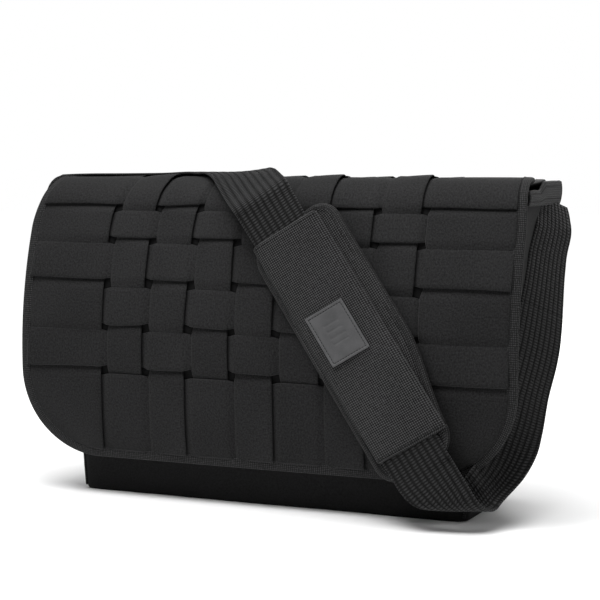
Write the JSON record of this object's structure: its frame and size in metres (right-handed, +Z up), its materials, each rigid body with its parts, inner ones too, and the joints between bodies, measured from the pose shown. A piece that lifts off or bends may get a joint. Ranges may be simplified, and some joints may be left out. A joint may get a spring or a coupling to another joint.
{
  "type": "messenger bag",
  "caption": "Soft messenger bag standing upright, with a wide woven flap over the front and a broad webbing shoulder strap that crosses it and carries a sliding pad.",
  "frame": {"origin": "on the floor under the middle of the body, at the underside of the bottom panel", "axes": "+X is the bag's width to the right seen from the front, +Y runs from the front to the back, +Z is up"},
  "size_m": [0.4966, 0.1788, 0.2844],
  "materials": {
    "shell_fabric": "matte woven nylon",
    "weave_fabric": "matte ballistic weave",
    "tape": "ribbed tape, slight sheen",
    "webbing": "ribbed webbing, slight sheen",
    "pad_fabric": "coarse ballistic weave over foam",
    "lining_fabric": "smooth coated nylon",
    "patch_leather": "pebbled, matte",
    "buckle_plastic": "moulded, satin",
    "board": "plain sheet",
    "zip_metal": "gunmetal"
  },
  "bodies": {
    "bag": {"bottom_panel": "shell_fabric", "base_board": "board", "front_panel": "shell_fabric", "back_panel": "shell_fabric", "back_padding": "pad_fabric", "gusset_left": "shell_fabric", "gusset_right": "shell_fabric", "gusset_hem_left": "tape", "gusset_hem_right": "tape", "anchor_patch_left": "tape", "anchor_patch_right": "tape", "front_hem": "tape", "lining": "lining_fabric", "laptop_sleeve": "pad_fabric", "pocket_front": "shell_fabric", "pocket_gusset": "shell_fabric", "pocket_hem": "tape", "loop_patch_left": "tape", "loop_patch_right": "tape", "zip_tape": "tape", "zip_chain": "zip_metal", "rear_yoke": "shell_fabric"},
    "flap": {"flap_lining": "shell_fabric", "weave_strip_down_1": "weave_fabric", "weave_strip_down_2": "weave_fabric", "weave_strip_down_3": "weave_fabric", "weave_strip_down_4": "weave_fabric", "weave_strip_down_5": "weave_fabric", "weave_strip_down_6": "weave_fabric", "weave_strip_down_7": "weave_fabric", "weave_strip_down_8": "weave_fabric", "weave_strip_down_9": "weave_fabric", "weave_strip_across_1": "weave_fabric", "weave_strip_across_2": "weave_fabric", "weave_strip_across_3": "weave_fabric", "weave_strip_across_4": "weave_fabric", "weave_strip_across_5": "weave_fabric", "weave_strip_across_6": "weave_fabric", "weave_strip_across_7": "weave_fabric", "weave_strip_across_8": "weave_fabric", "flap_binding": "tape", "hook_patch_left": "tape", "hook_patch_right": "tape"},
    "strap": {"shoulder_webbing": "webbing", "buckle_frame": "buckle_plastic"},
    "shoulder_pad": {"pad_base": "pad_fabric", "pad_binding": "tape", "pad_cover": "pad_fabric", "strap_patch": "patch_leather"},
    "buckle_lever": {"buckle_lever": "buckle_plastic"},
    "zip_slider": {"zip_slider": "zip_metal"},
    "zip_pull": {"zip_pull": "zip_metal"}
  },
  "joints": [
    {"name": "flap_open", "type": "hinge", "parent": "bag", "child": "flap", "pos_m": [0, 0.04, 0.266], "axis": [-1, 0, 0], "range_deg": [0, 110]},
    {"name": "strap_lift", "type": "hinge", "parent": "bag", "child": "strap", "pos_m": [0, 0.04, 0.266], "axis": [-1, 0, 0], "range_deg": [0, 110]},
    {"name": "pad_slide", "type": "slide", "parent": "strap", "child": "shoulder_pad", "axis": [0.5807, -0.0874, -0.8094], "range_m": [-0.005, 0.005]},
    {"name": "buckle_lever_open", "type": "hinge", "parent": "strap", "child": "buckle_lever", "pos_m": [-0.25769, 0.0382, 0.2456], "axis": [0, 1, 0], "range_deg": [0, 80]},
    {"name": "zip_run", "type": "slide", "parent": "bag", "child": "zip_slider", "axis": [1, 0, 0], "range_m": [0, 0.216]},
    {"name": "zip_pull_lift", "type": "hinge", "parent": "zip_slider", "child": "zip_pull", "pos_m": [-0.108, -0.04714, 0.204], "axis": [-1, 0, 0], "range_deg": [0, 85]}
  ],
  "couplings": [
    {"joint": "strap_lift", "follows": "flap_open", "ratio": 1}
  ]
}
